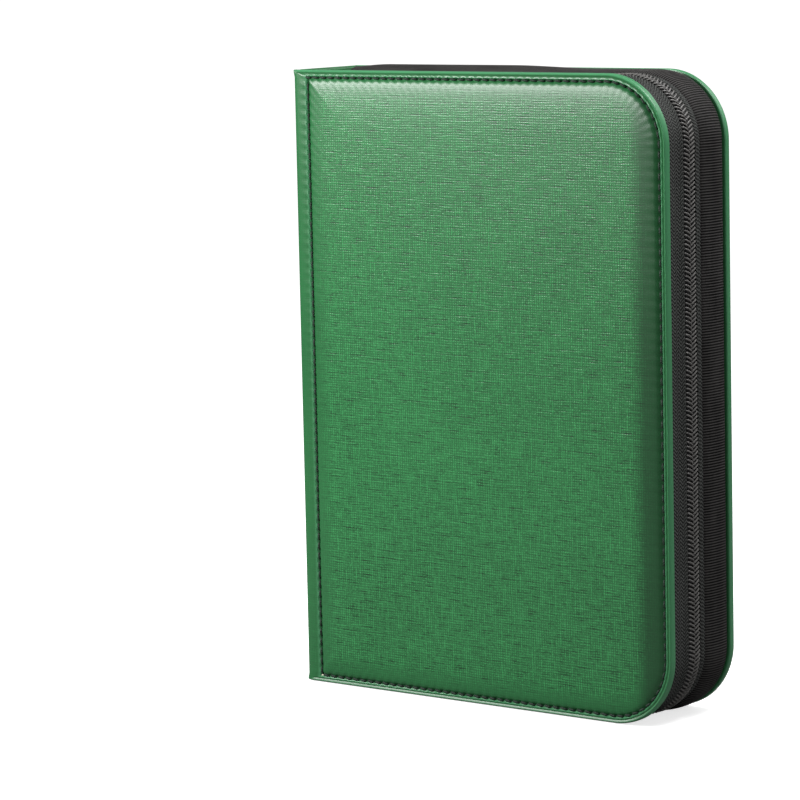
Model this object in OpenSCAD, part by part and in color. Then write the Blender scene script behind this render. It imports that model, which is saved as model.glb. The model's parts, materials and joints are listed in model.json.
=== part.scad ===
// Zip-around trading card binder, closed and standing on its short lower edge.
// +X runs from the spine to the fore-edge, +Y from the front cover to the back cover, +Z up.
// The origin is the middle of the footprint, on the surface that the binder stands on.

/* [Case] */
// Width from the spine to the fore-edge
case_w = 240; // [238:1:260]
// Height of the covers
case_h = 332; // [325:1:345]
// Thickness over both covers
case_t = 62; // [58:0.5:64]
// Radius of the two fore-edge corners of each cover
corner_r = 36; // [34:1:42]
// Thickness of a padded cover
cover_t = 6; // [6:0.2:7]
// Thickness of the spine panel
spine_t = 4; // [3.5:0.1:4]

/* [Cover layers] */
// Thickness of the leather skin
skin_t = 1; // [0.9:0.1:1.2]
// Thickness of the stiffening board
board_t = 2.2; // [2:0.1:2.4]
// Thickness of the lining
lining_t = 0.6; // [0.4:0.1:0.8]
// Width of the leather turned in over the inner face
hem_w = 12; // [10:1:16]
// Distance of the edge seam from the cover's edge
seam_in = 4; // [3.5:0.5:6]
// Distance of the hinge seam from the spine edge
hinge_seam_in = 11; // [9:0.5:12]

/* [Zip and gusset] */
// Distance of the zip's ends from the spine edge
zip_end_in = 8; // [8:0.5:9]
// Distance from a cover's edge to the middle of the zip tape
zip_in = 2.4; // [2.2:0.1:3]
// How much deeper the zip lies at its spine ends
zip_dip = 5.8; // [5:0.1:6]
// Visible width of the front tape
front_tape_w = 14.5; // [10:0.5:16]
// Visible width of the back tape
back_tape_w = 5; // [4:0.5:8]
// Width over both closed coils
chain_w = 10; // [9.6:0.1:10]
// Gap that the slider's post runs in
chain_gap = 2.2; // [2:0.1:2.4]
// Thickness of the coils
chain_t = 3.2; // [3:0.1:3.2]
// Thickness of the tapes
tape_t = 0.8; // [0.6:0.1:0.8]
// Thickness of the gusset band
gusset_t = 1.6; // [1.2:0.1:1.6]

/* [Leaves] */
// Width of a nine-pocket leaf
leaf_w = 216; // [210:1:216]
// Height of a nine-pocket leaf
leaf_h = 282; // [276:1:282]
// Thickness of a filled leaf
leaf_t = 1.1; // [0.8:0.1:1.1]
// Spacing of the closed leaves
leaf_pitch = 2.2; // [1.9:0.05:2.2]
// Radius of the mound that the leaves are sewn round
mound_r = 33; // [32:0.5:34]

/* [Slider] */
// Length of the slider
slider_l = 22; // [20:1:22]
// Half width of the slider at its nose
nose_half_w = 7.6; // [7.2:0.1:8]
// Length of the moulded pull
pull_l = 28; // [26:1:30]
// Width of the moulded pull
pull_w = 8.4; // [7:0.2:8.6]

/* [Hidden] */
leaf_n = 20;
LEAVES = ["leaf_01", "leaf_02", "leaf_03", "leaf_04", "leaf_05", "leaf_06", "leaf_07", "leaf_08",
          "leaf_09", "leaf_10", "leaf_11", "leaf_12", "leaf_13", "leaf_14", "leaf_15", "leaf_16",
          "leaf_17", "leaf_18", "leaf_19", "leaf_20"];

$fn = 96;
GREEN = "#3f7d55";
THREAD = "#2b5a3c";
CHARCOAL = "#2c2b2d";
BLACK = "#1c1c1e";
LINING = "#38383b";

half_w = case_w / 2;
half_t = case_t / 2;
clear = 0.3;
past = 0.1;                                  // how far a cutter runs past a face

// The cover's layers, as depths from its outer face
foam_t = cover_t - skin_t - board_t - lining_t;
corner_x = half_w - corner_r;

// The zip's end by the spine, and how steeply its straight runs sink towards it
run_end_x = -half_w + zip_end_in;
run_slope = zip_dip / (corner_x - run_end_x);
run_angle = atan(run_slope);

// The bands round the opening, as positions in Y
front_inner = -half_t + cover_t;
back_inner = half_t - cover_t;
chain_y0 = front_inner + front_tape_w;
chain_y = chain_y0 + chain_w / 2;
chain_y1 = chain_y0 + chain_w;
gusset_y0 = chain_y1 + back_tape_w;
bead_w = 2.8;                                // seam binding, along Y
bead_d = 3.2;                                // seam binding, inwards
piping_w = 2.9;
piping_h = 0.7;

// The slider's own sizes
channel_half = chain_t / 2 + clear;          // half height of the channel
wing_t = 1.2;
slit_half = tape_t / 2 + clear;
flange_w = 1;
rear_half_w = chain_w / 2 + clear + flange_w + 0.1;
post_half = chain_gap / 2 - clear;
link_r = 0.6;
link_h = channel_half + wing_t + 0.4 + link_r; // height of the pull's pivot over the tape
bridge_half_w = 1.8;
link_half = bridge_half_w + 0.8 + link_r;
pull_t = 2.4;
link_l = 14;
park_x = run_end_x + 2 + slider_l / 2;       // the slider's middle where it is parked
coil_x0 = park_x + slider_l / 2 + 1;         // where the coils start
tail_w = 6;

// The leaves' pivots stand on a circle, so that each leaf lies clear over the one below
outer_leaf_x = -half_w + 7;
mound_x = outer_leaf_x - sqrt(pow(mound_r, 2) - pow((leaf_n - 1) / 2 * leaf_pitch, 2));
mound_gap = 0.6;
mound_top_r = mound_r - leaf_t / 2 - mound_gap;
spine_half = half_t - cover_t - clear;
thread_half = 3;
thread_sink = 0.4;
leaf_z0 = (case_h - leaf_h) / 2;
function leaf_y(i) = (i - (leaf_n - 1) / 2) * leaf_pitch;
function leaf_x(i) = mound_x + sqrt(pow(mound_r, 2) - pow(leaf_y(i), 2));

// Depth of a straight run at x, for a surface that is inset by d at the corners
function run_z(x, d) = d + (corner_x - x) * run_slope;

// ---- shared shapes ----

// Extrudes a drawing of X and Z from y0 to y1
module along_y(y0, y1) {
    translate([0, y1, 0]) rotate([90, 0, 0]) linear_extrude(y1 - y0) children();
}

// A quarter of a disc at an outer corner
module corner_sector(r, up) {
    intersection() {
        circle(r);
        translate([0, up > 0 ? 0 : -r]) square(r);
    }
}

// A cover's outline, inset by d, and by left at the spine edge
module cover_outline(d, left) {
    translate([-half_w + left, d]) square([case_w - corner_r - left, case_h - 2 * d]);
    translate([corner_x, corner_r]) square([corner_r - d, case_h - 2 * corner_r]);
    translate([corner_x, corner_r]) corner_sector(corner_r - d, -1);
    translate([corner_x, case_h - corner_r]) corner_sector(corner_r - d, 1);
}

module cover_slab(d, y0, y1) {
    along_y(y0, y1) cover_outline(d, d);
}

// The area inside a band round the opening, from x0 to the fore-edge
module run_area(d, x0) {
    polygon([[x0, run_z(x0, d)], [corner_x, d], [corner_x, case_h - d], [x0, case_h - run_z(x0, d)]]);
    translate([corner_x, corner_r]) square([corner_r - d, case_h - 2 * corner_r]);
    translate([corner_x, corner_r]) corner_sector(corner_r - d, -1);
    translate([corner_x, case_h - corner_r]) corner_sector(corner_r - d, 1);
}

// A band that runs round three sides, between two depths and two places in Y
module u_band(d0, d1, y0, y1, x0 = run_end_x) {
    difference() {
        along_y(y0, y1) run_area(d0, x0);
        along_y(y0 - past, y1 + past) run_area(d1, x0 - 1);
    }
}

// Places a shape in the slider's frame: +X along the run, +Z outwards, at x on the upper run
module on_top_run(x) {
    translate([x, chain_y, case_h - run_z(x, zip_in)]) rotate([0, -run_angle, 0]) children();
}

module on_bottom_run(x) {
    translate([x, chain_y, run_z(x, zip_in)]) rotate([0, run_angle, 0]) children();
}

// Turns a shape drawn for the front cover into the back cover's
module for_back() {
    mirror([0, 1, 0]) children();
}

// ---- a cover, drawn at the front ----

module seam_ring(half) {
    difference() {
        cover_outline(seam_in - half, hinge_seam_in - half);
        cover_outline(seam_in + half, hinge_seam_in + half);
    }
}

// The skin wraps the foam and the board and is turned in round the lining
module cover_leather() {
    groove_half = 0.7;
    groove_depth = 0.6;
    difference() {
        cover_slab(0, -half_t, front_inner);
        cover_slab(skin_t, -half_t + skin_t, front_inner - lining_t);
        cover_slab(hem_w, front_inner - lining_t - past, front_inner + past);
        along_y(-half_t - past, -half_t + groove_depth) seam_ring(groove_half);
    }
}

module cover_foam() {
    cover_slab(skin_t, -half_t + skin_t, -half_t + skin_t + foam_t);
}

module cover_board() {
    cover_slab(skin_t, -half_t + skin_t + foam_t, front_inner - lining_t);
}

module cover_lining() {
    cover_slab(hem_w, front_inner - lining_t, front_inner);
}

module cover_stitching() {
    thread_w_half = 0.45;
    along_y(-half_t + 0.15, -half_t + 0.6) seam_ring(thread_w_half);
}

module front_cover_leather() { color(GREEN) cover_leather(); }
module front_cover_foam() { color("beige") cover_foam(); }
module front_cover_board() { color("tan") cover_board(); }
module front_cover_lining() { color(LINING) cover_lining(); }
module front_cover_stitching() { color(THREAD) cover_stitching(); }
module back_cover_leather() { color(GREEN) for_back() cover_leather(); }
module back_cover_foam() { color("beige") for_back() cover_foam(); }
module back_cover_board() { color("tan") for_back() cover_board(); }
module back_cover_lining() { color(LINING) for_back() cover_lining(); }
module back_cover_stitching() { color(THREAD) for_back() cover_stitching(); }

// ---- zip and gusset ----

module zip_tape_front() {
    color(CHARCOAL) u_band(zip_in - tape_t / 2, zip_in + tape_t / 2, front_inner, chain_y0);
}

module zip_tape_back() {
    color(CHARCOAL) u_band(zip_in - tape_t / 2, zip_in + tape_t / 2, chain_y1, gusset_y0);
}

module zip_coil_front() {
    color(BLACK)
        u_band(zip_in - chain_t / 2, zip_in + chain_t / 2, chain_y0, chain_y - chain_gap / 2, coil_x0);
}

module zip_coil_back() {
    color(BLACK)
        u_band(zip_in - chain_t / 2, zip_in + chain_t / 2, chain_y + chain_gap / 2, chain_y1, coil_x0);
}

module gusset_band() {
    color(CHARCOAL) u_band(zip_in - gusset_t / 2, zip_in + gusset_t / 2, gusset_y0, back_inner);
}

module gusset_piping() {
    outer = zip_in - gusset_t / 2;
    color("dimgray") u_band(outer - piping_h, outer, back_inner - piping_w, back_inner);
}

module front_seam_binding() {
    inner = zip_in + tape_t / 2;
    color(BLACK) u_band(inner, inner + bead_d, front_inner, front_inner + bead_w);
}

module back_seam_binding() {
    inner = zip_in + gusset_t / 2;
    color(BLACK) u_band(inner, inner + bead_d, back_inner - bead_w, back_inner);
}

// ---- spine ----

module spine_block(x0, x1, half, z_in) {
    translate([x0, -half, z_in]) cube([x1 - x0, 2 * half, case_h - 2 * z_in]);
}

spine_in_x = -half_w + spine_t;
spine_hem = 8;

module spine_leather() {
    color(GREEN) difference() {
        spine_block(-half_w, spine_in_x, spine_half, 0);
        spine_block(-half_w + skin_t, spine_in_x - lining_t, spine_half - skin_t, skin_t);
        spine_block(spine_in_x - lining_t - past, spine_in_x + past, spine_half - skin_t, spine_hem);
    }
}

module spine_board() {
    color("tan") spine_block(-half_w + skin_t, spine_in_x - lining_t, spine_half - skin_t, skin_t);
}

module spine_lining() {
    color(LINING) spine_block(spine_in_x - lining_t, spine_in_x, spine_half - skin_t, spine_hem);
}

mound_z = 18;                                // bare spine above and below the mound

// The padded strip that the leaves are sewn round
module binding_strip() {
    color(CHARCOAL) difference() {
        intersection() {
            translate([mound_x, 0, mound_z]) cylinder(h = case_h - 2 * mound_z, r = mound_top_r);
            spine_block(spine_in_x, half_w, spine_half, mound_z - 1);
        }
        translate([mound_x + mound_top_r - thread_sink, -thread_half, mound_z - past])
            cube([mound_r, 2 * thread_half, case_h - 2 * mound_z + 2 * past]);
    }
}

module binding_thread() {
    color("black") translate([mound_x + mound_top_r - thread_sink, -thread_half, mound_z + 2])
        cube([0.55, 2 * thread_half, case_h - 2 * mound_z - 4]);
}

tab_t = 1.4;
tab_w = 16;
tab_z = 13;

// A leather patch on the spine that the tapes' ends are sewn under
module zip_end_tab_bottom() {
    color(GREEN) translate([spine_in_x, chain_y - tab_w / 2, 2]) cube([tab_t, tab_w, tab_z]);
}

module zip_end_tab_top() {
    color(GREEN) translate([spine_in_x, chain_y - tab_w / 2, case_h - 2 - tab_z])
        cube([tab_t, tab_w, tab_z]);
}

tail_l = park_x - slider_l / 2 - clear - spine_in_x - tab_t;

module zip_tail_top() {
    color(CHARCOAL) translate([spine_in_x + tab_t, chain_y - tail_w / 2,
                               case_h - run_z(run_end_x, zip_in) - tape_t / 2])
        cube([tail_l, tail_w, tape_t]);
}

module zip_tail_bottom() {
    color(CHARCOAL) translate([spine_in_x + tab_t, chain_y - tail_w / 2,
                               run_z(run_end_x, zip_in) - tape_t / 2])
        cube([tail_l + 2, tail_w, tape_t]);
}

// The crimped metal clip that joins the tapes' lower ends, round the tail
module zip_bottom_stop() {
    stop_l = 4;
    stop_w = tail_w + 1.6;
    color("silver") translate([spine_in_x + tab_t + 1.5, chain_y, run_z(run_end_x, zip_in)])
        difference() {
            translate([0, -stop_w / 2, -chain_t / 2]) cube([stop_l, stop_w, chain_t]);
            translate([-past, -tail_w / 2, -tape_t / 2]) cube([stop_l + 2 * past, tail_w, tape_t]);
        }
}

// ---- slider, drawn with +X to its rear mouth and +Z outwards ----

module slider_plan(inset) {
    nose = slider_l / 2;
    polygon([[nose, -rear_half_w + inset], [nose, rear_half_w - inset],
             [-2, nose_half_w - inset], [-nose + 3, nose_half_w - inset],
             [-nose, nose_half_w - 3], [-nose, -nose_half_w + 3],
             [-nose + 3, -nose_half_w + inset], [-2, -nose_half_w + inset]]);
}

module slider_flanges(side) {
    translate([0, 0, side > 0 ? slit_half : -channel_half]) linear_extrude(channel_half - slit_half)
        difference() {
            slider_plan(0);
            slider_plan(flange_w);
            translate([-slider_l, -chain_w / 2 - clear]) square([2 * slider_l, chain_w + 2 * clear]);
        }
}

module slider_body() {
    color("silver") on_top_run(park_x) {
        translate([0, 0, channel_half]) linear_extrude(wing_t) slider_plan(0);
        translate([0, 0, -channel_half - wing_t]) linear_extrude(wing_t) slider_plan(0);
        slider_flanges(1);
        slider_flanges(-1);
        translate([-slider_l / 2, -post_half, -channel_half - wing_t / 2])
            cube([6, 2 * post_half, 2 * channel_half + wing_t]);
    }
}

bridge_l = 10;
bridge_h = 3.3;
bridge_roof = 1.1;

// The arch that holds the pull's crossbar
module slider_bridge() {
    half = bridge_l / 2;
    slope = 1.4;
    wall = 1.8;
    inner_h = bridge_h - bridge_roof;
    color("silver") on_top_run(park_x) translate([0, bridge_half_w, channel_half + wing_t])
        rotate([90, 0, 0]) linear_extrude(2 * bridge_half_w)
            polygon([[-half, 0], [-half + slope, bridge_h], [half - slope, bridge_h], [half, 0],
                     [half - wall, 0], [half - wall, inner_h], [-half + wall, inner_h],
                     [-half + wall, 0]]);
}

module link_bar(x) {
    translate([x, -link_half - link_r, 0]) rotate([-90, 0, 0])
        cylinder(h = 2 * (link_half + link_r), r = link_r, $fn = 32);
}

module link_arm(y) {
    translate([0, y, 0]) rotate([0, 90, 0]) cylinder(h = link_l, r = link_r, $fn = 32);
}

// The wire loop that turns in the bridge
module pull_link() {
    color("silver") on_top_run(park_x) translate([0, 0, link_h]) {
        link_bar(0);
        link_bar(link_l);
        link_arm(-link_half);
        link_arm(link_half);
    }
}

// The moulded bar on the loop
module pull_tab() {
    start = slider_l / 2 + 0.5;                // clear of the slider's mouth
    end_r = pull_w / 2;
    color("#3a3a3d") on_top_run(park_x) translate([0, 0, link_h - pull_t / 2])
        linear_extrude(pull_t) {
            translate([start, -pull_w / 2]) square([pull_l - end_r, pull_w]);
            translate([start + pull_l - end_r, 0]) circle(end_r);
        }
}

// ---- leaves ----

module leaf(i) {
    color("#4a4a50") translate([leaf_x(i), leaf_y(i), leaf_z0]) {
        cylinder(h = leaf_h, r = leaf_t / 2, $fn = 24);
        translate([0, -leaf_t / 2, 0]) cube([leaf_w, leaf_t, leaf_h]);
    }
}

front_cover_leather();
front_cover_foam();
front_cover_board();
front_cover_lining();
front_cover_stitching();
front_seam_binding();
zip_tape_front();
zip_coil_front();
back_cover_leather();
back_cover_foam();
back_cover_board();
back_cover_lining();
back_cover_stitching();
back_seam_binding();
zip_tape_back();
zip_coil_back();
gusset_band();
gusset_piping();
spine_leather();
spine_board();
spine_lining();
binding_strip();
binding_thread();
zip_end_tab_top();
zip_end_tab_bottom();
zip_tail_top();
zip_tail_bottom();
zip_bottom_stop();
slider_body();
slider_bridge();
pull_link();
pull_tab();
for (i = [0 : leaf_n - 1]) leaf(i);
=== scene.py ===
# The looks of a zip-around card binder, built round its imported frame.
# +X is the fore-edge, +Y the back cover and +Z up. Shapes are drawn in millimetres.
import json
import math
import random
from collections import namedtuple

import bmesh
import bpy
from mathutils import Matrix, Vector


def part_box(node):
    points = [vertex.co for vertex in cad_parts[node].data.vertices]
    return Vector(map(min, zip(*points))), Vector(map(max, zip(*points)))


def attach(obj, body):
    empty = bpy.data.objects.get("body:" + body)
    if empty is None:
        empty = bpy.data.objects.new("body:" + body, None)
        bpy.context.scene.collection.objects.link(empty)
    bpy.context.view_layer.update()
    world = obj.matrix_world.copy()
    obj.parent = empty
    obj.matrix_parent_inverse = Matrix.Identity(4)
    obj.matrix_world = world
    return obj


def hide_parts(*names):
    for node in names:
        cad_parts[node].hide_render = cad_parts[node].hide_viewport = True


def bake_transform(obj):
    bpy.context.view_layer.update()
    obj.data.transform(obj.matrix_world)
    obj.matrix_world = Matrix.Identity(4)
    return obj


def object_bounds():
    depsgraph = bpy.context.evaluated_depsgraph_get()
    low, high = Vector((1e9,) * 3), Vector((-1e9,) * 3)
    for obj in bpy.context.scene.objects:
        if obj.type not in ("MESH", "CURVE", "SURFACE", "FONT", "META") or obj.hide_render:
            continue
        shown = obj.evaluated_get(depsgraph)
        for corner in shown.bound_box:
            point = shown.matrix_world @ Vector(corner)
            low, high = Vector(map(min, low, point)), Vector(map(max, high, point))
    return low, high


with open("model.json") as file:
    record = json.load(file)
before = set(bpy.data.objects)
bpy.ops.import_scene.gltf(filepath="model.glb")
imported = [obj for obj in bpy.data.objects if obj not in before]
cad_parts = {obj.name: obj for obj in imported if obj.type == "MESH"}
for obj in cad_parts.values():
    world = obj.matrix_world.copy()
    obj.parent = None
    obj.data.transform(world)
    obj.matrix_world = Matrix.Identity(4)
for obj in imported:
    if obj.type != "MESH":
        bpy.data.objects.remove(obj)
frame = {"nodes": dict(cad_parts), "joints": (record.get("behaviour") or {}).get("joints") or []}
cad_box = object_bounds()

MM = 0.001


def box_mm(node):
    low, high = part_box(node)
    return low / MM, high / MM


# ---- sizes, from the frame's boxes and the part's own dimensions ----

cover_low, cover_high = box_mm("front_cover_leather")
tape_low, tape_high = box_mm("zip_tape_front")
coil_low, coil_high = box_mm("zip_coil_front")
back_coil_low, back_coil_high = box_mm("zip_coil_back")
_, back_tape_high = box_mm("zip_tape_back")
tail_low, tail_high = box_mm("zip_tail_top")
mound_low, mound_high = box_mm("binding_strip")

HALF_W = cover_high.x
HEIGHT = cover_high.z
OUTER_Y = -cover_low.y                       # the covers' outer faces
INNER_Y = -cover_high.y                      # the covers' inner faces
CORNER_R = 36
CORNER_X = HALF_W - CORNER_R
EDGE_SEAM = 4.0                              # the seam's distance from the edge
HINGE_SEAM = 11.0                            # and from the spine
TAPE_T = 0.8
SKIN_T = 0.6

RUN_END_X = tape_low.x
ZIP_IN = HEIGHT - tape_high.z + TAPE_T / 2
ZIP_DIP = HEIGHT - ZIP_IN - (tail_low.z + tail_high.z) / 2
RUN_SLOPE = ZIP_DIP / (CORNER_X - RUN_END_X)
CHAIN_Y = (coil_high.y + back_coil_low.y) / 2
GUSSET_Y = back_tape_high.y

STITCH_PITCH = 5.4
COLUMNS_PER_STITCH = 6
TOOTH_PITCH = 2.28
RIB_PITCH = 1.42


def smooth(t):
    """0 to 1 with level ends, as t goes from 0 to 1."""
    t = max(0.0, min(1.0, t))
    return t * t * (3 - 2 * t)


def mix(a, b, t):
    return a + (b - a) * t


# ---- paths that pieces are drawn along ----

# A place on the outline: the point, how far the left and the edge depths move it, how far round it is,
# how much it belongs to the spine side, how much deeper the zip lies there and how far the gusset swells
Station = namedtuple("Station", "x z left_x edge_x edge_z along spine dip swell", defaults=(0, 0, 0))

STRAIGHT = CORNER_X + HALF_W
QUARTER = math.pi / 2 * CORNER_R
FORE = HEIGHT - 2 * CORNER_R
OUTLINE = 2 * STRAIGHT + 2 * QUARTER + FORE + HEIGHT
SPINE_BLEND = 4                              # how far the corner's rounding reaches along a side


def fore_station(s, t):
    """A station on the fore-edge or one of its round corners, t millimetres on from where the upper corner
    starts. Past the lower corner there is none."""
    if t < QUARTER:
        a = t / CORNER_R
        x = CORNER_X + CORNER_R * math.sin(a)
        z = HEIGHT - CORNER_R + CORNER_R * math.cos(a)
        return Station(x, z, 0, -math.sin(a), -math.cos(a), s)
    t -= QUARTER
    if t < FORE:
        return Station(HALF_W, HEIGHT - CORNER_R - t, 0, -1, 0, s)
    t -= FORE
    if t < QUARTER:
        a = t / CORNER_R
        x = CORNER_X + CORNER_R * math.cos(a)
        z = CORNER_R - CORNER_R * math.sin(a)
        return Station(x, z, 0, -math.cos(a), math.sin(a), s)
    return None


def outline_station(s):
    """A station on a cover's closed outline, s millimetres on from the upper spine corner."""
    if s < STRAIGHT:
        spine = 0.5 - 0.5 * smooth(s / SPINE_BLEND)
        return Station(s - HALF_W, HEIGHT, 1 - s / STRAIGHT, 0, -1, s, spine)
    t = s - STRAIGHT
    station = fore_station(s, t)
    if station:
        return station
    t = t - QUARTER - FORE - QUARTER
    if t < STRAIGHT:
        near = smooth((STRAIGHT - t) / SPINE_BLEND)
        return Station(CORNER_X - t, 0, t / STRAIGHT, 0, 1, s, 0.5 - 0.5 * near)
    t -= STRAIGHT
    near = smooth(min(t, HEIGHT - t) / SPINE_BLEND)
    return Station(-HALF_W, t, 1, 0, 1 - 2 * t / HEIGHT, s, 0.5 + 0.5 * near)


ZIP_RUN = CORNER_X - RUN_END_X
ZIP_LENGTH = 2 * ZIP_RUN + 2 * QUARTER + FORE
SWELL = 1.4                                  # how far the gusset rises over the covers' upper edges


def zip_station(s):
    """A station on the open path round the gusset, s millimetres on from the upper spine end."""
    if s < ZIP_RUN:
        back = ZIP_RUN - s
        swell = SWELL * smooth((s + 4) / 26) * smooth((back - 40) / 50)
        return Station(CORNER_X - back, HEIGHT, 0, 0, -1, s, 0, back * RUN_SLOPE, swell)
    t = s - ZIP_RUN
    station = fore_station(s, t)
    if station:
        return station
    t = t - QUARTER - FORE - QUARTER
    return Station(CORNER_X - t, 0, 0, 0, 1, s, 0, t * RUN_SLOPE)


def zip_path(step, start=0.0):
    length = ZIP_LENGTH - start
    count = round(length / step)
    return [zip_station(start + length * i / count) for i in range(count + 1)]


def at_depth(st, depth, y, sink=1.0, swell=0.0):
    """The point at a depth from the outline, on the path round the gusset."""
    d = depth + st.dip * sink - st.swell * swell
    return Vector((st.x + st.edge_x * d, y, st.z + st.edge_z * d))


# ---- mesh tools ----


def sweep(path, profile, place, ring=False, loop=False):
    """Draws the first row of a surface along the path and extrudes it through the profile.
    place(station, point) gives a vertex and its grain coordinates. A ring's path closes, a loop's profile
    does. It gives the drawing and its last row of edges."""
    bm = bmesh.new()
    number = bm.verts.layers.int.new("station")
    grain = bm.verts.layers.float_vector.new("grain")

    def put(verts, point):
        for v in verts:
            v.co, v[grain] = place(path[v[number]], point)

    row = [bm.verts.new() for _ in path]
    for i, v in enumerate(row):
        v[number] = i
    put(row, profile[0])
    edges = [bm.edges.new(pair) for pair in zip(row, row[1:])]
    if ring:
        edges.append(bm.edges.new((row[-1], row[0])))
    for point in profile[1:] + profile[:1] * loop:
        made = bmesh.ops.extrude_edge_only(bm, edges=edges)["geom"]
        verts = {v for v in made if isinstance(v, bmesh.types.BMVert)}
        edges = [e for e in made if isinstance(e, bmesh.types.BMEdge) and set(e.verts) <= verts]
        put(verts, point)
    if loop:
        bmesh.ops.remove_doubles(bm, verts=bm.verts[:], dist=1e-4)
    return bm, edges


def close_ends(bm):
    bmesh.ops.holes_fill(bm, edges=[e for e in bm.edges if e.is_boundary], sides=0)


def face_towards(bm, direction):
    """Makes the faces agree, with most of the area looking along a direction."""
    bmesh.ops.recalc_face_normals(bm, faces=bm.faces[:])
    bm.normal_update()
    if sum(f.normal.dot(direction) * f.calc_area() for f in bm.faces) < 0:
        bmesh.ops.reverse_faces(bm, faces=bm.faces[:])


def face_out(bm):
    bmesh.ops.recalc_face_normals(bm, faces=bm.faces[:])


def to_mesh(bm, name, sharp=38):
    """Turns a drawing in millimetres into a mesh in metres."""
    bmesh.ops.scale(bm, vec=(MM, MM, MM), verts=bm.verts[:])
    mesh = bpy.data.meshes.new(name)
    bm.to_mesh(mesh)
    bm.free()
    mesh.shade_smooth()
    mesh.set_sharp_from_angle(angle=math.radians(sharp))
    return mesh


def piece(name, mesh, material, body=None, replaces=()):
    """Makes an object of a mesh. It rides on its body, when one is given."""
    mesh.materials.clear()
    mesh.materials.append(material)
    obj = bpy.data.objects.new(name, mesh)
    bpy.context.scene.collection.objects.link(obj)
    if body:
        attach(obj, body)
    if replaces:
        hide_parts(*replaces)
    return obj


def thicken(obj, thickness_mm):
    """Gives a surface its wall, on the side away from where it faces."""
    wall = obj.modifiers.new("wall", "SOLIDIFY")
    wall.thickness = thickness_mm * MM
    wall.offset = -1
    return obj


def tube(centres, radius, sides=8, up=Vector((0, 1, 0)), taper=1.0):
    """A closed round bar through the centres. Its grain is the way along it and the way round it."""
    last = len(centres) - 1
    along = [0.0]
    for a, b in zip(centres, centres[1:]):
        along.append(along[-1] + (b - a).length)

    def place(k, i):
        tangent = (centres[min(i + 1, last)] - centres[max(i - 1, 0)]).normalized()
        side = tangent.cross(up).normalized()
        turn = 2 * math.pi * k / sides
        r = radius * (taper if i in (0, last) else 1.0)
        out = side * math.cos(turn) + side.cross(tangent) * math.sin(turn)
        return centres[i] + out * r, Vector((along[i], turn * radius, 0))

    bm, _ = sweep(list(range(sides)), list(range(last + 1)), place, ring=True)
    close_ends(bm)
    face_out(bm)
    return bm


def repeat(unit, places, name):
    """One mesh with a copy of the unit drawing at each of the places. Grain z tells the copies apart."""
    template = bpy.data.meshes.new(name + "_unit")
    unit.to_mesh(template)
    unit.free()
    bm = bmesh.new()
    for number, matrix in enumerate(places):
        copy = template.copy()
        copy.transform(matrix)
        for item in copy.attributes["grain"].data:
            item.vector[2] = number
        bm.from_mesh(copy)
        bpy.data.meshes.remove(copy)
    bpy.data.meshes.remove(template)
    return to_mesh(bm, name, sharp=60)


def axes(origin, x, y, z):
    """The matrix that puts a drawing's own axes on these."""
    return Matrix((
        (x.x, y.x, z.x, origin.x),
        (x.y, y.y, z.y, origin.y),
        (x.z, y.z, z.z, origin.z),
        (0, 0, 0, 1),
    ))


def rounded_box(low, high, radius, segments=3):
    """A closed box between two corners, with rounded edges."""
    bm = bmesh.new()
    bm.verts.layers.float_vector.new("grain")
    size = high - low
    bmesh.ops.create_cube(bm, size=1)
    bmesh.ops.scale(bm, vec=size, verts=bm.verts[:])
    bmesh.ops.translate(bm, vec=(low + high) / 2, verts=bm.verts[:])
    bmesh.ops.bevel(bm, geom=bm.edges[:], offset=radius, segments=segments, profile=0.5,
                    affect="EDGES", material=-1)
    return bm


# ---- shader tools ----


class Signal:
    """An output of a node. Arithmetic on it adds Math nodes."""

    def __init__(self, shader, output):
        self.shader = shader
        self.output = output

    def __add__(self, other):
        return self.shader.math("ADD", self, other)

    __radd__ = __add__

    def __sub__(self, other):
        return self.shader.math("SUBTRACT", self, other)

    def __rsub__(self, other):
        return self.shader.math("SUBTRACT", other, self)

    def __mul__(self, other):
        return self.shader.math("MULTIPLY", self, other)

    def __pow__(self, other):
        return self.shader.math("POWER", self, other)


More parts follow.
